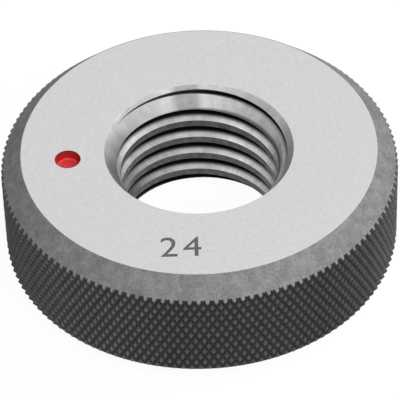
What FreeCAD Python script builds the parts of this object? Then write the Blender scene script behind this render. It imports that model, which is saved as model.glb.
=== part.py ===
"""Thread ring gauge M24 x 3, the not-go member of the pair.

One hardened steel ring that lies flat on its lower face: a knurled rim between
two broad chamfers, ground faces, a tapered lead-in at each end of the bore, a
right-hand screw thread truncated at the crests with a relief slot at the root,
and a round recess in the upper face that takes the red not-go mark.

Frame: origin on the bore axis at the middle of the lower face, +Z up the bore.
"""

import FreeCAD
import Part

import math
import os

import Sketcher
from FreeCAD import Vector

# Driving dimensions, millimetres and degrees

SIZES = [
    ("rim_diameter", 53.0, "over the tips of the knurl"),
    ("ring_width", 17.4, "between the ground faces"),
    ("rim_chamfer", 2.7, "45 degrees, both edges of the rim"),
    ("thread_pitch", 3.0, "single start, right hand"),
    ("pitch_diameter", 22.05, "where ridge and groove are equally wide"),
    ("crest_diameter", 21.2, "bore across the truncated crests"),
    ("root_diameter", 24.5, "bottom of the groove, past the nominal 24 mm"),
    ("root_slot_width", 0.56, "relief slot with parallel sides at the root"),
    ("flank_angle", 30.0, "flank against the plane across the axis"),
    ("mouth_diameter", 25.2, "lead-in where it meets the face"),
    ("upper_lead_in", 3.0, "depth of the taper in the marked face"),
    ("lower_lead_in", 2.0, "depth of the taper in the other face"),
    ("mark_diameter", 3.45, "recess of the red mark at the face"),
    ("mark_floor_diameter", 2.9, "flat floor of the recess"),
    ("mark_depth", 1.3, "depth of the recess"),
    ("mark_offset", 17.5, "bore axis to the middle of the recess"),
    ("knurl_spacing", 1.0, "diamond knurl, measured across the grooves"),
    ("knurl_angle", 30.0, "grooves against the axis"),
    ("knurl_depth", 0.36, "tip of a diamond to the crossing of the grooves"),
]

CUTTER_OVERRUN = 0.4  # cutters reach this far past the metal they cut

DOC = FreeCAD.newDocument("ThreadRingGauge")
SHEET = DOC.addObject("Spreadsheet::Sheet", "Sizes")
for line, (alias, value, note) in enumerate(SIZES, start=1):
    SHEET.set("A%d" % line, alias)
    SHEET.set("B%d" % line, "%g" % value)
    SHEET.set("C%d" % line, note)
    SHEET.setAlias("B%d" % line, alias)
DOC.recompute()


class Term:
    """A length or an angle: the expression that gives it, and its present value."""

    def __init__(self, text, value):
        self.text = text
        self.value = value

    def join(self, sign, other, value):
        return Term("(%s %s %s)" % (self.text, sign, other.text), value)

    def __add__(self, other):
        other = term(other)
        return self.join("+", other, self.value + other.value)

    def __sub__(self, other):
        other = term(other)
        return self.join("-", other, self.value - other.value)

    def __mul__(self, other):
        other = term(other)
        return self.join("*", other, self.value * other.value)

    def __truediv__(self, other):
        other = term(other)
        return self.join("/", other, self.value / other.value)


def term(thing):
    if isinstance(thing, Term):
        return thing
    return Term("%.9g" % thing, float(thing))


def size(alias):
    return Term("Sizes.%s" % alias, float(SHEET.get(alias)))


def tangent(angle):
    return Term("tan(%s * 1 deg)" % angle.text, math.tan(math.radians(angle.value)))


# Lengths that follow from the driving dimensions

RIM_RADIUS = size("rim_diameter") / 2
FACE_RADIUS = RIM_RADIUS - size("rim_chamfer")
CREST_RADIUS = size("crest_diameter") / 2
MOUTH_RADIUS = size("mouth_diameter") / 2
WIDTH = size("ring_width")
PITCH = size("thread_pitch")
FLANK_SLOPE = tangent(size("flank_angle"))
PITCH_RADIUS = size("pitch_diameter") / 2
ROOT_RADIUS = size("root_diameter") / 2
CUTTER_RADIUS = CREST_RADIUS - CUTTER_OVERRUN
SLOT_HALF = size("root_slot_width") / 2
SLOT_RADIUS = PITCH_RADIUS + (PITCH / 4 - SLOT_HALF) / FLANK_SLOPE
CUTTER_HALF = PITCH / 4 + (PITCH_RADIUS - CUTTER_RADIUS) * FLANK_SLOPE


def origin_feature(body, role):
    for feature in body.Origin.OriginFeatures:
        if feature.Role == role:
            return feature
    raise RuntimeError("the body has no " + role)


def pin_corner(sketch, index, kind, axis, place):
    """Holds the start of an edge at a distance from an axis, or on the axis."""
    if place is None:
        sketch.addConstraint(Sketcher.Constraint("PointOnObject", index, 1, axis))
        return
    constraint = sketch.addConstraint(Sketcher.Constraint(kind, index, 1, place.value))
    label = "%s_%d" % (kind, index)
    sketch.renameConstraint(constraint, label)
    sketch.setExpression("Constraints." + label, place.text)


def radial_section(body, name, corners, drop=None):
    """Polygon in the half plane through the axis; corners are (radius, height)."""
    sketch = body.newObject("Sketcher::SketchObject", name)
    sketch.AttachmentSupport = [(origin_feature(body, "XZ_Plane"), "")]
    sketch.MapMode = "FlatFace"
    points = []
    for radius, height in corners:
        points.append(Vector(radius.value if radius else 0, height.value if height else 0, 0))
    for index, point in enumerate(points):
        following = points[(index + 1) % len(points)]
        sketch.addGeometry(Part.LineSegment(point, following), False)
    for index in range(len(points)):
        after = (index + 1) % len(points)
        sketch.addConstraint(Sketcher.Constraint("Coincident", index, 2, after, 1))
    for index, (radius, height) in enumerate(corners):
        pin_corner(sketch, index, "DistanceX", -2, radius)
        pin_corner(sketch, index, "DistanceY", -1, height)
    if drop is not None:
        sketch.setExpression("AttachmentOffset.Base.y", "-" + drop.text)
    return sketch


def turned(body, kind, name, sketch):
    """Revolution or groove about the bore axis."""
    feature = body.newObject(kind, name)
    feature.Profile = sketch
    feature.ReferenceAxis = (origin_feature(body, "Z_Axis"), [""])
    feature.Angle = 360
    return feature


# The turned blank: ground faces, a 45 degree chamfer at each end of the rim, and a
# bore at the crest diameter with a tapered lead-in at each end

ring = DOC.addObject("PartDesign::Body", "TurnedRing")
blank_section = radial_section(ring, "BlankSection", [
    (CREST_RADIUS, size("lower_lead_in")),
    (MOUTH_RADIUS, None),
    (FACE_RADIUS, None),
    (RIM_RADIUS + CUTTER_OVERRUN, size("rim_chamfer") + CUTTER_OVERRUN),
    (RIM_RADIUS + CUTTER_OVERRUN, WIDTH - size("rim_chamfer") - CUTTER_OVERRUN),
    (FACE_RADIUS, WIDTH),
    (MOUTH_RADIUS, WIDTH),
    (CREST_RADIUS, WIDTH - size("upper_lead_in")),
])
turned(ring, "PartDesign::Revolution", "Blank", blank_section)

# The thread groove: 30 degree flanks down to a relief slot, swept from below the
# lower face to above the upper one, so that it runs out through both lead-ins

middle = PITCH / 2
groove_section = radial_section(ring, "GrooveSection", [
    (CUTTER_RADIUS, middle - CUTTER_HALF),
    (SLOT_RADIUS, middle - SLOT_HALF),
    (ROOT_RADIUS, middle - SLOT_HALF),
    (ROOT_RADIUS, middle + SLOT_HALF),
    (SLOT_RADIUS, middle + SLOT_HALF),
    (CUTTER_RADIUS, middle + CUTTER_HALF),
], drop=middle + PITCH * 0.7)
thread = ring.newObject("PartDesign::SubtractiveHelix", "ThreadGroove")
thread.Profile = groove_section
thread.ReferenceAxis = (groove_section, "V_Axis")
thread.Mode = 0
thread.setExpression("Pitch", PITCH.text)
thread.setExpression("Height", (WIDTH + PITCH * 1.5).text)
thread.Angle = 0
thread.LeftHanded = False
thread.Reversed = False

# The recess of the red mark, a shallow cup with a slightly drawn-in floor, on -X

cup_top = size("mark_diameter") / 2
cup_floor = size("mark_floor_diameter") / 2
cup_draw = (cup_top - cup_floor) / size("mark_depth")
cup_section = radial_section(ring, "MarkSection", [
    (None, WIDTH + CUTTER_OVERRUN),
    (cup_top + cup_draw * CUTTER_OVERRUN, WIDTH + CUTTER_OVERRUN),
    (cup_floor, WIDTH - size("mark_depth")),
    (None, WIDTH - size("mark_depth")),
])
cup_section.setExpression("AttachmentOffset.Base.x", "-" + size("mark_offset").text)
cup = ring.newObject("PartDesign::Groove", "MarkRecess")
cup.Profile = cup_section
cup.ReferenceAxis = (cup_section, ["V_Axis"])
cup.Angle = 360

# The diamond knurl: flat-sided pyramids whose corners are the crossings of the left
# and right grooves, in rows a half diamond apart, closed by a plain prism at each end


def knurl_form():
    tip_radius = RIM_RADIUS.value
    root_radius = tip_radius - size("knurl_depth").value
    angle = math.radians(size("knurl_angle").value)
    spacing = size("knurl_spacing").value
    chamfer = size("rim_chamfer").value
    width = WIDTH.value
    around = round(2 * math.pi * tip_radius * math.cos(angle) / spacing)
    step = 2 * math.pi / around
    row_height = spacing / (2 * math.sin(angle))
    band = width - 2 * (chamfer - size("knurl_depth").value)
    rows = math.ceil(band / row_height) + 2
    first = (width - rows * row_height) / 2

    def point(radius, column, row):
        turn = (column + 0.5 * (row % 2)) * step
        return Vector(radius * math.cos(turn), radius * math.sin(turn), first + row * row_height)

    def level(column, row, height):
        place = point(root_radius, column, row)
        return Vector(place.x, place.y, height)

    def facet(*corners):
        return Part.Face(Part.makePolygon(list(corners) + [corners[0]]))

    faces = []
    bottom = -CUTTER_OVERRUN
    top = width + CUTTER_OVERRUN
    for column in range(around):
        for row in range(1, rows):
            left = point(root_radius, column, row)
            right = point(root_radius, column + 1, row)
            beside = column + row % 2
            above = point(root_radius, beside, row + 1)
            below = point(root_radius, beside, row - 1)
            turn = (column + 0.5 + 0.5 * (row % 2)) * step
            tip = Vector(tip_radius * math.cos(turn), tip_radius * math.sin(turn), left.z)
            faces += [facet(tip, right, above), facet(tip, above, left)]
            faces += [facet(tip, left, below), facet(tip, below, right)]
        for row, end in ((0, bottom), (rows, top)):
            left = point(root_radius, column, row)
            right = point(root_radius, column + 1, row)
            inner = point(root_radius, column + row % 2, 1 if row == 0 else rows - 1)
            faces.append(facet(left, right, inner))
            faces.append(facet(left, right, level(column + 1, row, end), level(column, row, end)))
    for row, end in ((0, bottom), (rows, top)):
        faces.append(facet(*[level(column, row, end) for column in range(around)]))
    skin = Part.makeCompound(faces)
    skin.sewShape()
    return Part.makeSolid(skin.Shells[0])


knurl = DOC.addObject("Part::Feature", "KnurlForm")
knurl.Shape = knurl_form()

gauge = DOC.addObject("Part::Common", "RingGauge")
gauge.Base = ring
gauge.Tool = knurl
gauge.Refine = False
gauge.Label = "ring_gauge"
DOC.recompute()

# Every feature must have been rebuilt, and the one finished piece must be sound

for item in DOC.Objects:
    if "Invalid" in item.State or "Error" in item.State:
        raise RuntimeError("%s was not rebuilt: %s" % (item.Name, item.State))
for item in (ring, knurl, gauge):
    if item.Shape.isNull() or not item.Shape.isValid():
        raise RuntimeError(item.Name + " has no valid shape")
if len(gauge.Shape.Solids) != 1:
    raise RuntimeError("the ring came out as %d solids" % len(gauge.Shape.Solids))

box = gauge.Shape.optimalBoundingBox(False, False)
print("thread ring gauge, box %.3f %.3f %.3f mm" % (box.XLength, box.YLength, box.ZLength))
print("volume %.1f mm3, faces %d" % (gauge.Shape.Volume, len(gauge.Shape.Faces)))
os.makedirs("parts", exist_ok=True)
gauge.Shape.exportStep("parts/%s.step" % gauge.Label)
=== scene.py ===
"""Dressed model of a thread ring gauge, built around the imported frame.

One hardened steel ring lies flat on its lower face. Its faces are ground bright,
its two chamfers are matt, its knurled rim is black, and its bore carries a
right-hand thread with a lead-in cone at each end. A round recess in the upper
face holds red enamel, and the nominal size is etched in front of the bore.
"""

from __future__ import annotations

import logging
import math
from dataclasses import dataclass, field
from enum import Enum
from typing import Callable, Sequence

import bmesh
import bpy
from mathutils import Matrix, Vector


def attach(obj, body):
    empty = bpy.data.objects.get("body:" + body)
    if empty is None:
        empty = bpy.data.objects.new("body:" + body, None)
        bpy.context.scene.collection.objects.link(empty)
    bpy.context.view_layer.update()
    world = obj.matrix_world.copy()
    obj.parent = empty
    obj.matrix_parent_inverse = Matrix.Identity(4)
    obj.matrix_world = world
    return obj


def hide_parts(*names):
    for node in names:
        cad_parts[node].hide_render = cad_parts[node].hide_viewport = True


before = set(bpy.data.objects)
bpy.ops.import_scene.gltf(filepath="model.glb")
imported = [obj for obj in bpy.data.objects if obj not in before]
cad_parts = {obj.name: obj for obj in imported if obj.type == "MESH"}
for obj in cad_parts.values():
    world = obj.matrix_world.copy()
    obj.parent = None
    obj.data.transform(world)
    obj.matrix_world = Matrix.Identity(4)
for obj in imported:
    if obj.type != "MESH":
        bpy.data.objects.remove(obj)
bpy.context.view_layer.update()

LOG = logging.getLogger("ring_gauge")
MM = 0.001
TOUCHING = 1e-6  # how near a point has to be to count as on a line, in metres
WELD_GAP = 1e-7  # doubles nearer than this are merged, in metres
KNURL_WELD_GAP = 2e-6  # the same where neighbouring diamonds meet
ROUND_STEPS = 4  # segments of a rounded edge
STREAK_STRETCH = 0.02  # how little a streak changes along the axis
FINE_DETAIL = 3.0  # octaves of the fine noises
BROAD_DETAIL = 4.0  # octaves of the broad noise
NODE_SPACING = 180  # between nodes in the node editor

Colour = tuple[float, float, float]
Point = tuple[float, float, float]

ORIGIN: Point = (0.0, 0.0, 0.0)
UPWARDS: Point = (0.0, 0.0, 1.0)


class Tool(Enum):
    """The boolean operation that a cutting tool is used for."""

    CUT = "DIFFERENCE"
    KEEP_INSIDE = "INTERSECT"


class Finish(Enum):
    """The finishes on the steel ring, each named as its material is."""

    GROUND_FACE = "ground_face"
    MATT_CHAMFER = "matt_chamfer"
    BLACK_KNURL = "black_knurl"
    LEAD_IN = "turned_lead_in"
    THREAD_CREST = "thread_crest"
    THREAD_FLANK = "lapped_thread_flank"
    RECESS_EDGE = "recess_edge"
    ETCHED_FIGURE = "etched_figure"


# Node trees


class NodeBench:
    """Adds nodes to one tree and joins them."""

    def __init__(self, tree: bpy.types.NodeTree) -> None:
        """Keeps the tree.

        Args:
            tree: The material's or the group's node tree.
        """
        self.tree = tree
        self.column = 0

    def add(self, kind: str, **settings: object) -> bpy.types.Node:
        """Adds a node and sets its properties.

        Args:
            kind: The node's type name.
            **settings: Properties of the node.

        Returns:
            The new node.
        """
        node = self.tree.nodes.new(kind)
        for name, value in settings.items():
            setattr(node, name, value)
        node.location = (NODE_SPACING * self.column, 0)
        self.column += 1
        return node

    def feed(self, socket: bpy.types.NodeSocket, source: object) -> None:
        """Joins a socket to a source, or sets its value.

        Args:
            socket: An input socket.
            source: An output socket, a number or a tuple.
        """
        if isinstance(source, bpy.types.NodeSocket):
            self.tree.links.new(source, socket)
        else:
            socket.default_value = source

    def calc(self, operation: str, first: object, second: object = 0.0) -> bpy.types.NodeSocket:
        """Adds a Math node.

        Args:
            operation: Its operation, such as MULTIPLY.
            first: The first operand, a socket or a number.
            second: The second operand.

        Returns:
            The value socket.
        """
        node = self.add("ShaderNodeMath", operation=operation)
        self.feed(node.inputs[0], first)
        self.feed(node.inputs[1], second)
        return node.outputs[0]

    def ramp(
        self, value: object, low: float, high: float, start: float, end: float,
    ) -> bpy.types.NodeSocket:
        """Adds a smooth Map Range node.

        Args:
            value: The socket to map.
            low: The value that gives start.
            high: The value that gives end.
            start: The output at low.
            end: The output at high.

        Returns:
            The mapped value socket.
        """
        node = self.add("ShaderNodeMapRange", interpolation_type="SMOOTHSTEP")
        for socket, source in zip(node.inputs, (value, low, high, start, end)):
            self.feed(socket, source)
        return node.outputs[0]

    def tint(self, factor: object, first: object, second: object) -> bpy.types.NodeSocket:
        """Adds a colour Mix node.

        Args:
            factor: 0 gives the first colour and 1 the second.
            first: A colour socket or a four-part colour.
            second: The other colour.

        Returns:
            The mixed colour socket.
        """
        node = self.add("ShaderNodeMix", data_type="RGBA", clamp_factor=True)
        self.feed(node.inputs["Factor"], factor)
        self.feed(node.inputs[6], first)
        self.feed(node.inputs[7], second)
        return node.outputs[2]


class EffectGroup:
    """A shader node group with named inputs and outputs."""

    def __init__(
        self, name: str, inputs: Sequence[tuple[str, str, float]], outputs: Sequence[str],
    ) -> None:
        """Makes the group's interface.

        Args:
            name: The group's name.
            inputs: Name, socket type and default of each input.
            outputs: Name of each value output.
        """
        self.tree = bpy.data.node_groups.new(name, "ShaderNodeTree")
        for label, kind, default in inputs:
            socket = self.tree.interface.new_socket(name=label, in_out="INPUT", socket_type=kind)
            if kind == "NodeSocketFloat":
                socket.default_value = default
        for label in outputs:
            self.tree.interface.new_socket(
                name=label, in_out="OUTPUT", socket_type="NodeSocketFloat")
        self.bench = NodeBench(self.tree)
        self.source = self.bench.add("NodeGroupInput")
        self.result = self.bench.add("NodeGroupOutput")

    def place(self, bench: NodeBench, **values: object) -> bpy.types.Node:
        """Places the group in a material.

        Args:
            bench: The material's bench.
            **values: Input name, with underscores for spaces, and its source.

        Returns:
            The group node.
        """
        node = bench.add("ShaderNodeGroup", node_tree=self.tree)
        for name, value in values.items():
            bench.feed(node.inputs[name.replace("_", " ")], value)
        return node


def turned_place() -> EffectGroup:
    """Makes the group that gives a point's place on a turned part.

    Returns:
        A group with Radius and Height in millimetres, and Turn from -1 to 1.
    """
    group = EffectGroup(
        "turned_place", [("Vector", "NodeSocketVector", 0.0)], ["Radius", "Height", "Turn"])
    bench = group.bench
    parts = bench.add("ShaderNodeSeparateXYZ")
    bench.feed(parts.inputs[0], group.source.outputs["Vector"])
    squares = [bench.calc("MULTIPLY", parts.outputs[i], parts.outputs[i]) for i in (0, 1)]
    radius = bench.calc("SQRT", bench.calc("ADD", squares[0], squares[1]))
    bench.feed(group.result.inputs["Radius"], bench.calc("DIVIDE", radius, MM))
    bench.feed(group.result.inputs["Height"], bench.calc("DIVIDE", parts.outputs[2], MM))
    turn = bench.calc("ARCTAN2", parts.outputs[1], parts.outputs[0])
    bench.feed(group.result.inputs["Turn"], bench.calc("DIVIDE", turn, math.pi))
    return group


def fine_grain() -> EffectGroup:
    """Makes the group for the speckle of a ground or blasted surface.

    Returns:
        A group with Tone, which varies about 1, and Relief from 0 to 1.
    """
    group = EffectGroup(
        "fine_grain",
        [("Vector", "NodeSocketVector", 0.0), ("Fine", "NodeSocketFloat", 3000.0),
         ("Broad", "NodeSocketFloat", 300.0), ("Contrast", "NodeSocketFloat", 0.1)],
        ["Tone", "Relief"],
    )
    bench = group.bench
    fine = bench.add("ShaderNodeTexNoise")
    broad = bench.add("ShaderNodeTexNoise")
    for node, scale, detail in ((fine, "Fine", FINE_DETAIL), (broad, "Broad", BROAD_DETAIL)):
        bench.feed(node.inputs["Vector"], group.source.outputs["Vector"])
        bench.feed(node.inputs["Scale"], group.source.outputs[scale])
        node.inputs["Detail"].default_value = detail
    both = bench.calc("ADD", fine.outputs[0], broad.outputs[0])
    apart = bench.calc("SUBTRACT", both, 1.0)
    spread = bench.calc("MULTIPLY", apart, group.source.outputs["Contrast"])
    bench.feed(group.result.inputs["Tone"], bench.calc("ADD", spread, 1.0))
    bench.feed(group.result.inputs["Relief"], fine.outputs[0])
    return group


def tool_lines_and_painted_streaks() -> EffectGroup:
    """Makes the group for lines that a tool leaves round the axis, and painted reflection streaks
    along it.

    Returns:
        A group with Lines and Streaks, both from 0 to 1.
    """
    group = EffectGroup(
        "tool_lines_and_painted_streaks",
        [("Radius", "NodeSocketFloat", 1.0), ("Height", "NodeSocketFloat", 0.0),
         ("Turn", "NodeSocketFloat", 0.0), ("Pace", "NodeSocketFloat", 8.0),
         ("Streak Pace", "NodeSocketFloat", 6.0)],
        ["Lines", "Streaks"],
    )
    bench = group.bench
    source = group.source.outputs
    lines = bench.add("ShaderNodeTexNoise")
    across = bench.add("ShaderNodeCombineXYZ")
    bench.feed(across.inputs[0], source["Radius"])
    bench.feed(across.inputs[1], source["Height"])
    bench.feed(lines.inputs["Vector"], across.outputs[0])
    bench.feed(lines.inputs["Scale"], source["Pace"])
    lines.inputs["Detail"].default_value = FINE_DETAIL
    angle = bench.calc("MULTIPLY", source["Turn"], math.pi)
    round_it = bench.add("ShaderNodeCombineXYZ")
    bench.feed(round_it.inputs[0], bench.calc("COSINE", angle))
    bench.feed(round_it.inputs[1], bench.calc("SINE", angle))
    bench.feed(round_it.inputs[2], bench.calc("MULTIPLY", source["Height"], STREAK_STRETCH))
    streaks = bench.add("ShaderNodeTexNoise")
    bench.feed(streaks.inputs["Vector"], round_it.outputs[0])
    bench.feed(streaks.inputs["Scale"], source["Streak Pace"])
    streaks.inputs["Detail"].default_value = FINE_DETAIL
    bench.feed(group.result.inputs["Lines"], lines.outputs[0])
    bench.feed(group.result.inputs["Streaks"], streaks.outputs[0])
    return group


@dataclass
class EffectShelf:
    """The node groups that the materials share."""

    place: EffectGroup = field(default_factory=turned_place)
    grain: EffectGroup = field(default_factory=fine_grain)
    lines: EffectGroup = field(default_factory=tool_lines_and_painted_streaks)


# Finishes


def empty_material(name: str) -> tuple[bpy.types.Material, NodeBench]:
    """Makes a material without nodes.

    Args:
        name: The material's name.

    Returns:
        The material and the bench for its nodes.
    """
    material = bpy.data.materials.new(name)
    material.use_nodes = True
    material.node_tree.nodes.clear()
    return material, NodeBench(material.node_tree)


def finish_shader(
    bench: NodeBench, finish: SteelFinish | EnamelFinish, colour: bpy.types.NodeSocket,
    tone: bpy.types.NodeSocket, height: bpy.types.NodeSocket,
) -> bpy.types.Node:
    """Adds what steel and enamel both end in: toned colour, gloss, relief and the output.

    Args:
        bench: The material's bench.
        finish: Gives the roughness, its spread and the relief.
        colour: The colour at a tone of 1.
        tone: What the colour is multiplied by. A light tone is glossier too.
        height: The form of the relief.

    Returns:
        The shader node.
    """
    shade = bench.add("ShaderNodeVectorMath", operation="SCALE")
    bench.feed(shade.inputs[0], colour)
    bench.feed(shade.inputs["Scale"], tone)
    bump = bench.add("ShaderNodeBump")
    bump.inputs["Distance"].default_value = finish.relief * MM
    bench.feed(bump.inputs["Height"], height)
    dull, bright = finish.roughness + finish.gloss_spread, finish.roughness - finish.gloss_spread
    shader = bench.add("ShaderNodeBsdfPrincipled")
    bench.feed(shader.inputs["Base Color"], shade.outputs[0])
    bench.feed(shader.inputs["Roughness"], bench.ramp(tone, *finish.gloss_tones, dull, bright))
    bench.feed(shader.inputs["Normal"], bump.outputs[0])
    bench.feed(bench.add("ShaderNodeOutputMaterial").inputs[0], shader.outputs[0])
    return shader


@dataclass(frozen=True)
class PaintedLightBand:
    """A soft stripe along the axis that lifts or lowers the tone.

    The gain is full within half the half_width of the angle and gone at one and a half of
    it, in degrees. Where heights are given, it is full at the first and gone at the second,
    in millimetres. A positive gain paints a highlight and a negative gain paints shade.
    """

    angle: float
    half_width: float
    gain: float
    heights: tuple[float, float] | None = None

    def factor(self, bench: NodeBench, place: bpy.types.Node) -> bpy.types.NodeSocket:
        """Adds the nodes of the stripe.

        Args:
            bench: The material's bench.
            place: The node that gives the point's place on the ring.

        Returns:
            The socket that the tone is multiplied by.
        """
        away = bench.calc("SUBTRACT", place.outputs["Turn"], self.angle / 180.0)
        apart = bench.calc("PINGPONG", away, 1.0)
        half = self.half_width / 180.0
        part = bench.ramp(apart, 0.5 * half, 1.5 * half, self.gain, 0.0)
        if self.heights is not None:
            reach = bench.ramp(place.outputs["Height"], *self.heights, 1.0, 0.0)
            part = bench.calc("MULTIPLY", part, reach)
        return bench.calc("ADD", part, 1.0)


@dataclass(frozen=True)
class SteelFinish:
    """One finish of the steel, its tone changing between two radii of the ring.

    The near tone holds inside near_radius and the far tone outside far_radius. Both radii
    grow by flare for each unit of height above flare_height, where the bore opens out. A
    light tone is also glossier, by up to gloss_spread.
    """

    name: str
    near_colour: Colour
    far_colour: Colour
    near_radius: float = 0.0
    far_radius: float = 1.0
    flare: float = 0.0
    flare_height: float = 14.4
    metallic: float = 1.0
    roughness: float = 0.4
    specular: float = 0.5
    fine: float = 3000.0
    broad: float = 300.0
    contrast: float = 0.1
    relief: float = 0.004
    line_pace: float = 8.0
    line_tone: float = 0.0
    # streaks are painted reflection streaks, at random places round the turn
    streak_pace: float = 6.0
    streak_tone: float = 0.0
    # painted highlights and painted shade, in stripes round the ring
    painted_light_bands: tuple[PaintedLightBand, ...] = ()
    gloss_spread: float = 0.08
    gloss_tones: tuple[float, float] = (0.6, 1.4)

    def material(self, shelf: EffectShelf) -> bpy.types.Material:
        """Makes the finish's material.

        Args:
            shelf: The shared node groups.

        Returns:
            The new material.
        """
        material, bench = empty_material(self.name)
        coordinates = bench.add("ShaderNodeTexCoord").outputs["Object"]
        place = shelf.place.place(bench, Vector=coordinates)
        grain = shelf.grain.place(
            bench, Vector=coordinates, Fine=self.fine, Broad=self.broad, Contrast=self.contrast)
        lines = shelf.lines.place(
            bench, Radius=place.outputs["Radius"], Height=place.outputs["Height"],
            Turn=place.outputs["Turn"], Pace=self.line_pace, Streak_Pace=self.streak_pace,
        )
        radius = place.outputs["Radius"]
        # moves both radii outward above flare_height, so that painted groove shade follows the
        # run-out into the lead-in
        if self.flare:
            above = bench.calc("SUBTRACT", place.outputs["Height"], self.flare_height)
            above = bench.calc("MAXIMUM", above, 0.0)
            radius = bench.calc("SUBTRACT", radius, bench.calc("MULTIPLY", above, self.flare))
        ratio = bench.ramp(radius, self.near_radius, self.far_radius, 0.0, 1.0)
        colour = bench.tint(ratio, (*self.near_colour, 1.0), (*self.far_colour, 1.0))
        tone = grain.outputs["Tone"]
        # lines are tool lines; streaks are painted reflection streaks at random places round the
        # turn
        for output, amount in (("Lines", self.line_tone), ("Streaks", self.streak_tone)):
            if amount:
                part = bench.calc("SUBTRACT", lines.outputs[output], 0.5)
                part = bench.calc("MULTIPLY", part, 2.0 * amount)
                tone = bench.calc("MULTIPLY", tone, bench.calc("ADD", part, 1.0))
        # painted light and shade: each stripe lifts or lowers the tone where it lies
        for light_band in self.painted_light_bands:
            tone = bench.calc("MULTIPLY", tone, light_band.factor(bench, place))
        cuts = lines.outputs["Lines"] if self.line_tone else 0.0
        height = bench.calc("ADD", grain.outputs["Relief"], cuts)
        shader = finish_shader(bench, self, colour, tone, height)
        shader.inputs["Metallic"].default_value = self.metallic
        shader.inputs["Specular IOR Level"].default_value = self.specular
        return material


@dataclass(frozen=True)
class EnamelFinish:
    """Red enamel, brushed into the recess. Its floor is a lighter, pinker red: a painted sheen."""

    name: str = "red_enamel"
    wall_colour: Colour = (0.36, 0.002, 0.005)
    # the floor colour is a painted sheen over the enamel's red
    floor_colour: Colour = (0.50, 0.024, 0.026)
    roughness: float = 0.5
    wall_height: float = 16.45
    floor_height: float = 16.2
    fine: float = 2500.0
    broad: float = 900.0
    contrast: float = 0.22
    relief: float = 0.02
    coat: float = 0.06
    coat_roughness: float = 0.15
    gloss_spread: float = 0.1
    gloss_tones: tuple[float, float] = (0.8, 1.2)

    def material(self, shelf: EffectShelf) -> bpy.types.Material:
        """Makes the enamel's material.

        Args:
            shelf: The shared node groups.

        Returns:
            The new material.
        """
        material, bench = empty_material(self.name)
        coordinates = bench.add("ShaderNodeTexCoord").outputs["Object"]
        place = shelf.place.place(bench, Vector=coordinates)
        grain = shelf.grain.place(
            bench, Vector=coordinates, Fine=self.fine, Broad=self.broad, Contrast=self.contrast)
        height = place.outputs["Height"]
        # painted sheen: the floor lighter and pinker than the wall
        ratio = bench.ramp(height, self.floor_height, self.wall_height, 0.0, 1.0)
        colour = bench.tint(ratio, (*self.floor_colour, 1.0), (*self.wall_colour, 1.0))
        shader = finish_shader(
            bench, self, colour, grain.outputs["Tone"], grain.outputs["Relief"])
        shader.inputs["Coat Weight"].default_value = self.coat
        shader.inputs["Coat Roughness"].default_value = self.coat_roughness
        return material


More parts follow.
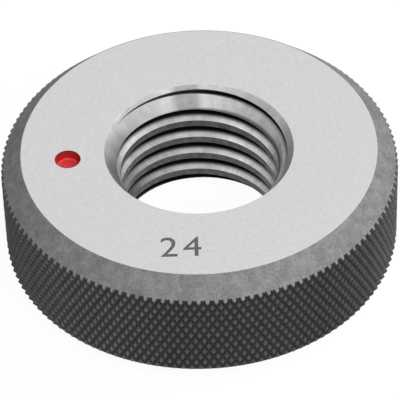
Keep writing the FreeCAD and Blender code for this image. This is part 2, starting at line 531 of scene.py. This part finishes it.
STEEL_FINISHES: dict[Finish, SteelFinish] = {
    Finish.GROUND_FACE: SteelFinish(
        "ground_face", (0.632, 0.632, 0.629), (0.632, 0.632, 0.629),
        metallic=1.0, roughness=0.3, fine=3800.0, broad=1500.0, contrast=0.2, relief=0.003,
        line_pace=3.0, line_tone=0.012),
    Finish.MATT_CHAMFER: SteelFinish(
        "matt_chamfer", (0.182, 0.182, 0.181), (0.182, 0.182, 0.181),
        metallic=0.0, roughness=0.68, specular=0.25, fine=3500.0, broad=700.0, contrast=1.0,
        relief=0.012, line_pace=5.0, line_tone=0.04),
    Finish.BLACK_KNURL: SteelFinish(
        "black_knurl", (0.0216, 0.0212, 0.0206), (0.101, 0.1002, 0.0979),
        near_radius=26.14, far_radius=26.5, metallic=0.0, roughness=0.5, specular=0.2,
        fine=4000.0, broad=700.0, contrast=0.6, relief=0.01,
        # painted light and shade on the knurl: lighter at -130 degrees, darker at -52 and 178
        # degrees
        painted_light_bands=(PaintedLightBand(-130.0, 18.0, 0.3), PaintedLightBand(-52.0, 16.0, -0.2), PaintedLightBand(178.0, 20.0, -0.2))),
    Finish.LEAD_IN: SteelFinish(
        "turned_lead_in", (0.12, 0.12, 0.118), (0.44, 0.44, 0.435),
        near_radius=10.68, far_radius=10.92, metallic=0.55, roughness=0.36,
        fine=3500.0, broad=900.0, contrast=0.4, relief=0.0,
        line_pace=6.0, line_tone=0.08, streak_pace=6.0, streak_tone=0.25,
        # painted light and shade on the cone: a dark dip at the far side, a bright reflection
        # streak at 67 degrees, darker deep inside and lighter at the mouth near 164 to 180 degrees,
        # darker at -160 degrees
        painted_light_bands=(
            PaintedLightBand(92.5, 9.5, -0.5), PaintedLightBand(67.0, 14.0, 0.2), PaintedLightBand(164.0, 26.0, -0.52, (14.6, 17.2)),
            PaintedLightBand(180.0, 30.0, 0.3, (17.4, 16.2)), PaintedLightBand(-160.0, 22.0, -0.6),
        )),
    # the crest's dark tone is painted shade: the dark reflection that the crest flats show
    Finish.THREAD_CREST: SteelFinish(
        "thread_crest", (0.10, 0.10, 0.098), (0.10, 0.10, 0.098),
        metallic=0.7, roughness=0.45, fine=3500.0, broad=1200.0, contrast=1.1, relief=0.006,
        line_pace=8.0, line_tone=0.15, streak_pace=9.0, streak_tone=0.3),
    # the far tone, nearly black, is painted shade deep in the thread groove, carried out into the
    # lead-in's run-out by flare; the bands paint a highlight at 44 degrees and shade at 160 and
    # -178 degrees
    Finish.THREAD_FLANK: SteelFinish(
        "lapped_thread_flank", (0.336, 0.336, 0.332), (0.003, 0.003, 0.003),
        near_radius=11.0, far_radius=11.55, flare=0.36, metallic=0.4, roughness=0.42,
        specular=0.1, fine=3000.0, broad=900.0, contrast=0.4, relief=0.006,
        line_pace=9.0, line_tone=0.08, streak_pace=12.0, streak_tone=0.25,
        painted_light_bands=(
            PaintedLightBand(44.0, 24.0, 1.1, (13.6, 15.0)), PaintedLightBand(160.0, 28.0, -0.75, (3.0, 14.0)),
            PaintedLightBand(-178.0, 20.0, -0.4),
        )),
    Finish.RECESS_EDGE: SteelFinish(
        "recess_edge", (0.06, 0.055, 0.055), (0.06, 0.055, 0.055),
        metallic=0.6, roughness=0.5, contrast=0.3),
    Finish.ETCHED_FIGURE: SteelFinish(
        "etched_figure", (0.09, 0.09, 0.088), (0.09, 0.09, 0.088),
        metallic=0.2, roughness=0.75, fine=6000.0, broad=1500.0, contrast=0.5, relief=0.01),
}


# Modelling by operators


class Workbench:
    """The modelling steps that every piece is made with."""

    @staticmethod
    def clear() -> None:
        """Leaves edit mode and deselects everything, the CAD nodes too."""
        if bpy.context.object is not None and bpy.context.object.mode != "OBJECT":
            bpy.ops.object.mode_set(mode="OBJECT")
        bpy.ops.object.select_all(action="DESELECT")

    @staticmethod
    def take(piece: bpy.types.Object) -> None:
        """Makes one piece the selected and active object.

        Args:
            piece: The object.
        """
        Workbench.clear()
        piece.select_set(True)
        bpy.context.view_layer.objects.active = piece

    @staticmethod
    def begin(name: str) -> bpy.types.Object:
        """Names the primitive that was just added and puts its place into its mesh.

        Args:
            name: The piece's name.

        Returns:
            The piece, at the origin.
        """
        piece = bpy.context.object
        piece.name = name
        piece.data.name = name
        bpy.ops.object.transform_apply(location=True, rotation=True, scale=True)
        return piece

    @staticmethod
    def plate(name: str, low: tuple[float, float], high: tuple[float, float]) -> bpy.types.Object:
        """Adds a rectangle in the half plane of +X and +Z.

        Args:
            name: The piece's name.
            low: Radius and height of its lower inner corner, in metres.
            high: Radius and height of its upper outer corner, in metres.

        Returns:
            The flat piece.
        """
        Workbench.clear()
        middle = ((low[0] + high[0]) / 2, 0.0, (low[1] + high[1]) / 2)
        bpy.ops.mesh.primitive_plane_add(
            size=1.0, location=middle, rotation=(math.pi / 2, 0.0, 0.0))
        bpy.context.object.scale = (high[0] - low[0], high[1] - low[1], 1.0)
        return Workbench.begin(name)

    @staticmethod
    def pick(piece: bpy.types.Object, wanted: Callable[[Vector], bool], kind: str = "VERT") -> None:
        """Selects the elements whose middle is wanted, in edit mode.

        Args:
            piece: The object in edit mode.
            wanted: Says whether a place is wanted.
            kind: VERT, EDGE or FACE.
        """
        bpy.ops.mesh.select_mode(type=kind)
        bpy.ops.mesh.select_all(action="DESELECT")
        shape = bmesh.from_edit_mesh(piece.data)
        elements = {"VERT": shape.verts, "EDGE": shape.edges, "FACE": shape.faces}[kind]
        for element in elements:
            if kind == "VERT":
                middle = element.co
            else:
                corners = [corner.co for corner in element.verts]
                middle = sum(corners, Vector()) / len(corners)
            if wanted(middle):
                element.select_set(True)
        shape.select_flush_mode()
        bmesh.update_edit_mesh(piece.data)

    @staticmethod
    def shave(point: tuple[float, float], normal: tuple[float, float]) -> None:
        """Cuts a flat section off along a line and drops the side that the normal points to.

        Args:
            point: Radius and height of a point on the line, in metres.
            normal: Direction towards the part that goes.
        """
        length = math.hypot(*normal)
        bpy.ops.mesh.select_all(action="SELECT")
        bpy.ops.mesh.bisect(
            plane_co=(point[0], 0.0, point[1]),
            plane_no=(normal[0] / length, 0.0, normal[1] / length),
            use_fill=False, clear_outer=True, clear_inner=False,
        )

    @staticmethod
    def tidy(gap: float = WELD_GAP) -> None:
        """Merges doubles and turns every face outwards, in edit mode.

        Args:
            gap: Points nearer than this are merged, in metres.
        """
        bpy.ops.mesh.select_mode(type="VERT")
        bpy.ops.mesh.select_all(action="SELECT")
        bpy.ops.mesh.remove_doubles(threshold=gap)
        bpy.ops.mesh.select_all(action="SELECT")
        bpy.ops.mesh.normals_make_consistent(inside=False)

    @staticmethod
    def turn(piece: bpy.types.Object, steps: int, start: float = 0.0) -> None:
        """Turns a flat section about the bore axis into a closed ring.

        Args:
            piece: The section.
            steps: Segments in the whole turn.
            start: Angle of the first segment, in radians.
        """
        Workbench.take(piece)
        bpy.ops.object.mode_set(mode="EDIT")
        bpy.ops.mesh.select_all(action="SELECT")
        bpy.ops.mesh.delete(type="ONLY_FACE")
        bpy.ops.mesh.select_all(action="SELECT")
        if start:
            bpy.ops.transform.rotate(value=start, orient_axis="Z", center_override=ORIGIN)
        bpy.ops.mesh.spin(steps=steps, angle=math.tau, center=ORIGIN, axis=UPWARDS)
        Workbench.tidy()
        bpy.ops.object.mode_set(mode="OBJECT")

    @staticmethod
    def apply(piece: bpy.types.Object, modifier: bpy.types.Modifier) -> None:
        """Applies one modifier.

        Args:
            piece: The object that has it.
            modifier: The modifier.
        """
        Workbench.take(piece)
        bpy.ops.object.modifier_apply(modifier=modifier.name)

    @staticmethod
    def machine(
        piece: bpy.types.Object, tool: bpy.types.Object, use: Tool, lapped: bool = False,
    ) -> None:
        """Uses a tool on a piece and puts the tool away. Cut faces keep the tool's finish.

        Args:
            piece: The work piece.
            tool: The closed form of the tool.
            use: What the tool does.
            lapped: Whether parts of the tool lap over each other.
        """
        step = piece.modifiers.new("tool", "BOOLEAN")
        step.operation = use.value
        step.solver = "EXACT"
        step.use_self = lapped
        step.material_mode = "TRANSFER"
        step.object = tool
        Workbench.apply(piece, step)
        bpy.data.objects.remove(tool)

    @staticmethod
    def dress(piece: bpy.types.Object, material: bpy.types.Material) -> None:
        """Gives a piece one material.

        Args:
            piece: The object.
            material: Its material.
        """
        piece.data.materials.clear()
        piece.data.materials.append(material)


# The ring


@dataclass
class GaugeRing:
    """The hardened ring: blank, thread, recess, knurl and etched size. Sizes in millimetres.

    Some fields are not sizes of the ring. A face is flat where its normal rises more than
    flat_normal. The lead-ins begin bore_margin outside the crests. The tap starts at
    tap_start pitches, and tap_sides is more than its section has. Points of a diamond past
    corner_share of its half width are its side corners. A figure is figure_share of its
    font size high.
    """

    shelf: EffectShelf
    rim_radius: float = 26.5
    width: float = 17.4
    chamfer: float = 2.7
    mouth_radius: float = 12.6
    crest_radius: float = 10.6
    upper_lead_in: float = 3.0
    lower_lead_in: float = 2.0
    pitch: float = 3.0
    pitch_radius: float = 11.025
    root_radius: float = 12.25
    slot_width: float = 0.56
    flank_angle: float = 30.0
    recess_radius: float = 1.725
    recess_floor_radius: float = 1.45
    recess_depth: float = 1.3
    recess_offset: float = 17.5
    knurl_depth: float = 0.36
    knurl_columns: int = 144
    knurl_row: float = 1.0
    knurl_groove: float = 0.1
    knurl_tip: tuple[float, float] = (0.2, 0.26)
    knurl_wear: float = 0.002
    edge_break: float = 0.14
    mouth_break: float = 0.03
    overrun: float = 0.4
    flat_normal: float = 0.99
    bore_margin: float = 0.02
    tap_start: float = -0.7
    tap_turns: int = 8
    tap_sides: int = 8
    recess_round: float = 0.18
    corner_share: float = 0.95
    figures: str = "24"
    figure_height: float = 3.7
    figure_depth: float = 0.06
    figure_place: tuple[float, float] = (-4.3, -18.55)
    figure_share: float = 0.73
    figure_spacing: float = 1.2
    figure_reach: float = 0.5
    segments: int = 288
    recess_segments: int = 72
    smooth_angle: float = 8.0
    materials: dict[Finish, bpy.types.Material] = field(default_factory=dict)

    @property
    def face_radius(self) -> float:
        """Radius of the flat faces."""
        return self.rim_radius - self.chamfer

    def prepare_finishes(self) -> None:
        """Makes one material for each finish of the ring."""
        for finish, recipe in STEEL_FINISHES.items():
            self.materials[finish] = recipe.material(self.shelf)

    def blank(self) -> bpy.types.Object:
        """Turns the blank: flat faces, chamfers, bore and lead-in cones.

        Returns:
            The closed blank, with the rim left proud for the knurl.
        """
        proud = self.rim_radius + self.overrun
        piece = Workbench.plate(
            "ring", (self.crest_radius * MM, 0.0), (proud * MM, self.width * MM))
        Workbench.take(piece)
        bpy.ops.object.mode_set(mode="EDIT")
        face, mouth, top = self.face_radius * MM, self.mouth_radius * MM, self.width * MM
        cone = self.mouth_radius - self.crest_radius
        Workbench.shave((face, top), (1.0, 1.0))
        Workbench.shave((face, 0.0), (1.0, -1.0))
        Workbench.shave((mouth, top), (-self.upper_lead_in, cone))
        Workbench.shave((mouth, 0.0), (-self.lower_lead_in, -cone))
        for radius, height, size in (
            (face, top, self.edge_break), (face, 0.0, self.edge_break),
            (mouth, top, self.mouth_break), (mouth, 0.0, self.mouth_break),
        ):
            corner = Vector((radius, 0.0, height))
            Workbench.pick(piece, lambda place: (place - corner).length < TOUCHING)
            bpy.ops.mesh.bevel(offset=size * MM, segments=ROUND_STEPS, affect="VERTICES")
        bpy.ops.object.mode_set(mode="OBJECT")
        Workbench.turn(piece, self.segments, start=math.tau / self.segments / 4)
        self.mark_regions(piece)
        return piece

    def mark_regions(self, piece: bpy.types.Object) -> None:
        """Gives each turned surface of the blank its finish.

        Args:
            piece: The turned blank.
        """
        order = (Finish.GROUND_FACE, Finish.MATT_CHAMFER, Finish.LEAD_IN, Finish.THREAD_CREST)
        for finish in order:
            piece.data.materials.append(self.materials[finish])
        for face in piece.data.polygons:
            middle, normal = face.center, face.normal
            radius = math.hypot(middle.x, middle.y) / MM
            if abs(normal.z) > self.flat_normal:
                finish = Finish.GROUND_FACE
            elif radius > self.face_radius - 2 * self.edge_break:
                finish = Finish.MATT_CHAMFER
            elif radius > self.crest_radius + self.bore_margin:
                finish = Finish.LEAD_IN
            else:
                finish = Finish.THREAD_CREST
            face.material_index = order.index(finish)

    def thread_tap(self) -> bpy.types.Object:
        """Makes the tap: the groove's section, slotted at its root, on a right-hand helix.

        Returns:
            The closed helical tool.
        """
        slope = math.tan(math.radians(self.flank_angle))
        inner = self.crest_radius - self.overrun
        wide = self.pitch / 4 + (self.pitch_radius - inner) * slope
        outer = self.pitch_radius + (self.pitch / 4 - self.slot_width / 2) / slope
        middle = self.tap_start * self.pitch
        tap = Workbench.plate(
            "tap", (inner * MM, (middle - wide) * MM), (outer * MM, (middle + wide) * MM))
        Workbench.take(tap)
        bpy.ops.object.mode_set(mode="EDIT")
        Workbench.pick(tap, lambda place: place.x > outer * MM - TOUCHING, "EDGE")
        bpy.ops.transform.resize(
            value=(1.0, 1.0, self.slot_width / 2 / wide),
            center_override=(outer * MM, 0.0, middle * MM))
        reach = ((self.root_radius - outer) * MM, 0.0, 0.0)
        bpy.ops.mesh.extrude_region_move(TRANSFORM_OT_translate={"value": reach})
        Workbench.pick(tap, lambda place: abs(place.x - outer * MM) < TOUCHING, "EDGE")
        bpy.ops.mesh.delete(type="EDGE")
        bpy.ops.object.mode_set(mode="OBJECT")
        helix = tap.modifiers.new("helix", "SCREW")
        helix.axis = "Z"
        helix.angle = math.tau
        helix.screw_offset = self.pitch * MM
        helix.iterations = self.tap_turns
        helix.steps = helix.render_steps = self.segments // 2
        Workbench.apply(tap, helix)
        bpy.ops.object.mode_set(mode="EDIT")
        bpy.ops.mesh.select_all(action="SELECT")
        bpy.ops.mesh.fill_holes(sides=self.tap_sides)
        Workbench.tidy()
        bpy.ops.object.mode_set(mode="OBJECT")
        Workbench.dress(tap, self.materials[Finish.THREAD_FLANK])
        return tap

    def recess_mill(self) -> bpy.types.Object:
        """Makes the cutter of the recess, drawn in a little and rounded at its end.

        Returns:
            The closed cutter.
        """
        floor = (self.width - self.recess_depth) * MM
        top = (self.width + self.overrun) * MM
        draw = (self.recess_radius - self.recess_floor_radius) / self.recess_depth
        reach = self.recess_radius + draw * self.overrun
        Workbench.clear()
        bpy.ops.mesh.primitive_cone_add(
            vertices=self.recess_segments, radius1=self.recess_floor_radius * MM,
            radius2=reach * MM, depth=top - floor,
            location=(-self.recess_offset * MM, 0.0, (top + floor) / 2),
        )
        mill = Workbench.begin("mill")
        bpy.ops.object.mode_set(mode="EDIT")
        Workbench.pick(mill, lambda place: place.z < floor + TOUCHING, "EDGE")
        bpy.ops.mesh.bevel(
            offset=self.recess_round * MM, segments=ROUND_STEPS, affect="EDGES")
        Workbench.tidy()
        bpy.ops.object.mode_set(mode="OBJECT")
        Workbench.dress(mill, self.materials[Finish.RECESS_EDGE])
        return mill

    def knurl_sleeve(self) -> bpy.types.Object:
        """Makes the knurled form: one diamond, its neighbour, a column and then the whole rim.

        Returns:
            The closed form that the blank's rim is cut down to.
        """
        root = self.rim_radius - self.knurl_depth
        half_step = math.pi / self.knurl_columns
        rows = 2 * math.ceil((self.width / self.knurl_row - 1) / 2) + 1
        first = (self.width - (rows - 1) * self.knurl_row) / 2
        middle = (root * MM, 0.0, first * MM)
        Workbench.clear()
        bpy.ops.mesh.primitive_circle_add(
            vertices=4, radius=self.knurl_row * MM, fill_type="NGON",
            location=middle, rotation=(0.0, math.pi / 2, 0.0),
        )
        sleeve = Workbench.begin("sleeve")
        bpy.ops.object.mode_set(mode="EDIT")
        side = root * math.sin(half_step)
        back = root * (1 - math.cos(half_step))
        bpy.ops.mesh.select_all(action="SELECT")
        bpy.ops.transform.resize(
            value=(1.0, side / self.knurl_row, 1.0), center_override=middle)
        bpy.ops.mesh.inset(thickness=self.knurl_groove / 2 * MM)
        lift = ((self.knurl_depth - self.knurl_wear) * MM, 0.0, 0.0)
        bpy.ops.mesh.extrude_region_move(TRANSFORM_OT_translate={"value": lift})
        bpy.ops.transform.resize(value=(1.0, *self.knurl_tip), center_override=middle)
        corner = self.corner_share * side * MM
        Workbench.pick(sleeve, lambda place: abs(place.y) > corner)
        bpy.ops.transform.translate(value=(-back * MM, 0.0, 0.0))
        self.repeat_diamond(sleeve, half_step, rows)
        self.close_sleeve(sleeve)
        bpy.ops.object.mode_set(mode="OBJECT")
        Workbench.dress(sleeve, self.materials[Finish.BLACK_KNURL])
        return sleeve

    def repeat_diamond(self, sleeve: bpy.types.Object, half_step: float, rows: int) -> None:
        """Copies the one diamond up the rim in two staggered columns, then round it.

        Args:
            sleeve: The knurled form in edit mode, with one diamond.
            half_step: Half a column, in radians.
            rows: Rows of diamonds in a column and the one beside it.
        """
        row = (0.0, 0.0, self.knurl_row * MM)
        two_rows = (0.0, 0.0, 2 * self.knurl_row * MM)
        bpy.ops.mesh.select_all(action="SELECT")
        for _ in range(rows // 2):
            bpy.ops.mesh.duplicate_move(TRANSFORM_OT_translate={"value": two_rows})
        bpy.ops.mesh.select_all(action="SELECT")
        bpy.ops.mesh.duplicate_move(TRANSFORM_OT_translate={"value": row})
        bpy.ops.transform.rotate(value=half_step, orient_axis="Z", center_override=ORIGIN)
        bpy.ops.mesh.select_all(action="SELECT")
        bpy.ops.mesh.spin(
            steps=self.knurl_columns - 1, angle=math.tau * (1 - 1 / self.knurl_columns),
            dupli=True, center=ORIGIN, axis=UPWARDS,
        )
        Workbench.tidy(KNURL_WELD_GAP)

    @staticmethod
    def close_sleeve(sleeve: bpy.types.Object) -> None:
        """Carries each open end of the sleeve past the blank and caps it flat.

        Args:
            sleeve: The knurled form in edit mode.
        """
        heights = [vertex.co.z for vertex in bmesh.from_edit_mesh(sleeve.data).verts]
        middle = (min(heights) + max(heights)) / 2
        for sign, end in ((1.0, max(heights) + MM), (-1.0, min(heights) - MM)):
            past = (0.0, 0.0, sign * MM)
            bpy.ops.mesh.select_mode(type="EDGE")
            bpy.ops.mesh.select_all(action="DESELECT")
            shape = bmesh.from_edit_mesh(sleeve.data)
            for edge in shape.edges:
                height = (edge.verts[0].co.z + edge.verts[1].co.z) / 2
                if edge.is_boundary and (height - middle) * sign > 0:
                    edge.select_set(True)
            bmesh.update_edit_mesh(sleeve.data)
            bpy.ops.mesh.extrude_region_move(TRANSFORM_OT_translate={"value": past})
            bpy.ops.transform.resize(value=(1.0, 1.0, 0.0), center_override=(0.0, 0.0, end))
            bpy.ops.mesh.edge_face_add()
        Workbench.tidy(KNURL_WELD_GAP)

    def figure_etcher(self) -> bpy.types.Object:
        """Makes the tool that sinks the size figures into the upper face.

        Returns:
            The closed figures.
        """
        Workbench.clear()
        bpy.ops.object.text_add(location=ORIGIN)
        text = bpy.context.object
        text.data.body = self.figures
        text.data.size = self.figure_height / self.figure_share * MM
        text.data.align_x = "CENTER"
        text.data.align_y = "CENTER"
        text.data.extrude = self.figure_reach * MM
        text.data.space_character = self.figure_spacing
        bpy.ops.object.convert(target="MESH")
        text = bpy.context.object
        height = (self.width - self.figure_depth) * MM + self.figure_reach * MM
        text.location = (self.figure_place[0] * MM, self.figure_place[1] * MM, height)
        text.rotation_euler = (0.0, 0.0, math.radians(PHOTO_VIEW.azimuth))
        etcher = Workbench.begin("etcher")
        bpy.ops.object.mode_set(mode="EDIT")
        Workbench.tidy()
        bpy.ops.object.mode_set(mode="OBJECT")
        Workbench.dress(etcher, self.materials[Finish.ETCHED_FIGURE])
        return etcher

    def build(self) -> bpy.types.Object:
        """Machines the whole ring and lets it stand for the CAD node.

        Returns:
            The finished ring.
        """
        self.prepare_finishes()
        ring = self.blank()
        Workbench.machine(ring, self.figure_etcher(), Tool.CUT, lapped=True)
        Workbench.machine(ring, self.recess_mill(), Tool.CUT)
        Workbench.machine(ring, self.knurl_sleeve(), Tool.KEEP_INSIDE)
        Workbench.machine(ring, self.thread_tap(), Tool.CUT)
        ring.name = "ring"
        Workbench.take(ring)
        bpy.ops.object.mode_set(mode="EDIT")
        bpy.ops.mesh.select_all(action="SELECT")
        bpy.ops.mesh.remove_doubles(threshold=WELD_GAP)
        bpy.ops.object.mode_set(mode="OBJECT")
        bpy.ops.object.shade_smooth_by_angle(angle=math.radians(self.smooth_angle))
        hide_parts("ring_gauge")
        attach(ring, "root")
        return ring


@dataclass
class RedMark:
    """The enamel coat inside the ring's recess. Sizes in millimetres."""

    shelf: EffectShelf
    ring: GaugeRing
    clearance: float = 0.005
    drop: float = 0.16
    thickness: float = 0.05
    floor_inset: float = 0.45
    floor_dish: float = 0.02
    smooth_angle: float = 40.0

    def build(self) -> bpy.types.Object:
        """Makes the coat as a thin cup that follows the recess.

        Returns:
            The enamel coat.
        """
        ring = self.ring
        floor = (ring.width - ring.recess_depth) * MM
        rim = (ring.width - self.drop) * MM
        top_radius = ring.recess_radius - self.clearance
        draw = (top_radius - ring.recess_floor_radius) / ring.recess_depth
        rim_radius = top_radius - draw * self.drop
        Workbench.clear()
        bpy.ops.mesh.primitive_cone_add(
            vertices=ring.recess_segments, radius1=ring.recess_floor_radius * MM,
            radius2=rim_radius * MM, depth=rim - floor,
            location=(-ring.recess_offset * MM, 0.0, (rim + floor) / 2),
        )
        coat = Workbench.begin("red_mark")
        bpy.ops.object.mode_set(mode="EDIT")
        Workbench.pick(coat, lambda place: place.z > rim - TOUCHING, "FACE")
        bpy.ops.mesh.delete(type="ONLY_FACE")
        Workbench.pick(coat, lambda place: place.z < floor + TOUCHING, "FACE")
        bpy.ops.mesh.bevel(
            offset=ring.recess_round * MM, segments=ROUND_STEPS, affect="EDGES")
        Workbench.pick(coat, lambda place: place.z < floor + TOUCHING, "FACE")
        bpy.ops.mesh.inset(thickness=self.floor_inset * MM, depth=self.floor_dish * MM)
        bpy.ops.object.mode_set(mode="OBJECT")
        wall = coat.modifiers.new("wall", "SOLIDIFY")
        wall.thickness = self.thickness * MM
        wall.offset = 0.0
        Workbench.apply(coat, wall)
        Workbench.dress(coat, EnamelFinish().material(self.shelf))
        bpy.ops.object.shade_smooth_by_angle(angle=math.radians(self.smooth_angle))
        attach(coat, "root")
        return coat


# The studio


@dataclass(frozen=True)
class PhotoView:
    """The photograph's view of the upper face.

    Lengths are in millimetres, apart from the clip distances in metres, and angles in degrees.
    """

    azimuth: float = -4.7
    elevation: float = 43.85
    roll: float = 1.9
    distance: float = 425.4
    slide_right: float = -0.15
    slide_up: float = 6.96
    lens: float = 288.05
    sensor_width: float = 36.0
    clip: tuple[float, float] = (0.01, 10.0)
    target_height: float = 17.4

    def camera(self) -> None:
        """Makes the scene's camera."""
        angles = (self.azimuth, self.elevation, self.roll)
        turn, tilt, roll = (math.radians(angle) for angle in angles)
        right = Vector((math.cos(turn), math.sin(turn), 0.0))
        away = Vector((-math.sin(turn), math.cos(turn), 0.0))
        up = away * math.sin(tilt) + Vector((0.0, 0.0, math.cos(tilt)))
        forward = away * math.cos(tilt) - Vector((0.0, 0.0, math.sin(tilt)))
        across = right * math.cos(roll) - up * math.sin(roll)
        upright = right * math.sin(roll) + up * math.cos(roll)
        place = Vector((0.0, 0.0, self.target_height))
        place -= across * self.slide_right + upright * self.slide_up + forward * self.distance
        data = bpy.data.cameras.new("camera")
        data.lens = self.lens
        data.sensor_width = self.sensor_width
        data.clip_start, data.clip_end = self.clip
        camera = bpy.data.objects.new("camera", data)
        bpy.context.scene.collection.objects.link(camera)
        axes = Matrix((across, upright, -forward)).transposed().to_4x4()
        camera.matrix_world = Matrix.Translation(place * MM) @ axes
        bpy.context.scene.camera = camera


PHOTO_VIEW = PhotoView()


@dataclass(frozen=True)
class Lamp:
    """One soft lamp that faces the gauge. Lengths in metres, angles in degrees, power in watts."""

    name: str
    azimuth: float
    elevation: float
    distance: float
    size: float
    power: float

    def build(self) -> None:
        """Makes the lamp."""
        data = bpy.data.lights.new(self.name, "AREA")
        data.shape = "DISK"
        data.size = self.size
        data.energy = self.power
        lamp = bpy.data.objects.new(self.name, data)
        bpy.context.scene.collection.objects.link(lamp)
        turn, tilt = math.radians(self.azimuth), math.radians(self.elevation)
        level = Vector((math.sin(turn), -math.cos(turn), 0.0))
        back = level * math.cos(tilt) + Vector(UPWARDS) * math.sin(tilt)
        lamp.location = back * self.distance
        lamp.rotation_euler = back.to_track_quat("Z", "Y").to_euler()


@dataclass
class Studio:
    """A white floor, a white surround and soft lamps. Lengths in metres."""

    lamps: Sequence[Lamp] = (
        Lamp("key", 13.0, 53.0, 0.6, 0.5, 3.5),
        Lamp("side", 104.0, 38.0, 0.6, 0.4, 2.0),
    )
    surround_light: float = 0.22
    floor_width: float = 3.0
    floor_gap: float = 0.00002
    floor_own_light: float = 0.95
    floor_colour: float = 0.2

    @staticmethod
    def seen_directly(bench: NodeBench) -> bpy.types.NodeSocket:
        """Adds the test for rays that show the background itself.

        Args:
            bench: The bench of the material or the world.

        Returns:
            A socket that is 1 for camera, mirror and glass rays.
        """
        path = bench.add("ShaderNodeLightPath")
        both = bench.calc("MAXIMUM", path.outputs["Is Camera Ray"], path.outputs["Is Glossy Ray"])
        return bench.calc("MAXIMUM", both, path.outputs["Is Transmission Ray"])

    def world(self) -> None:
        """Makes the white surround."""
        world = bpy.data.worlds.new("surround")
        world.use_nodes = True
        world.node_tree.nodes.clear()
        bench = NodeBench(world.node_tree)
        seen = self.seen_directly(bench)
        background = bench.add("ShaderNodeBackground")
        background.inputs["Color"].default_value = (1.0, 1.0, 1.0, 1.0)
        strength = bench.ramp(seen, 0.0, 1.0, self.surround_light, 1.0)
        bench.feed(background.inputs["Strength"], strength)
        bench.feed(bench.add("ShaderNodeOutputWorld").inputs[0], background.outputs[0])
        bpy.context.scene.world = world

    def floor(self) -> None:
        """Makes the white floor, which keeps a soft shadow."""
        Workbench.clear()
        bpy.ops.mesh.primitive_plane_add(
            size=self.floor_width, location=(0.0, 0.0, -self.floor_gap))
        floor = Workbench.begin("floor")
        material, bench = empty_material("white_floor")
        seen = self.seen_directly(bench)
        diffuse = bench.add("ShaderNodeBsdfDiffuse")
        shade = bench.ramp(seen, 0.0, 1.0, self.floor_colour, 1.0 - self.floor_own_light)
        tint = bench.add("ShaderNodeCombineColor")
        for socket in tint.inputs[:3]:
            bench.feed(socket, shade)
        bench.feed(diffuse.inputs["Color"], tint.outputs[0])
        glow = bench.add("ShaderNodeEmission")
        bench.feed(glow.inputs["Strength"], bench.calc("MULTIPLY", seen, self.floor_own_light))
        both = bench.add("ShaderNodeAddShader")
        bench.feed(both.inputs[0], diffuse.outputs[0])
        bench.feed(both.inputs[1], glow.outputs[0])
        bench.feed(bench.add("ShaderNodeOutputMaterial").inputs[0], both.outputs[0])
        Workbench.dress(floor, material)

    def build(self) -> None:
        """Sets the view transform and makes floor, surround, lamps and camera."""
        bpy.context.scene.view_settings.view_transform = "Standard"
        PHOTO_VIEW.camera()
        self.world()
        self.floor()
        for lamp in self.lamps:
            lamp.build()


def main() -> None:
    """Builds the gauge and the studio, and reports each piece."""
    logging.basicConfig(level=logging.INFO, format="%(name)s: %(message)s")
    shelf = EffectShelf()
    gauge = GaugeRing(shelf)
    for piece in (gauge.build(), RedMark(shelf, gauge).build()):
        mesh = piece.data
        LOG.info("%s: %d faces, %d points", piece.name, len(mesh.polygons), len(mesh.vertices))
    Studio().build()


if __name__ == "__main__":
    main()
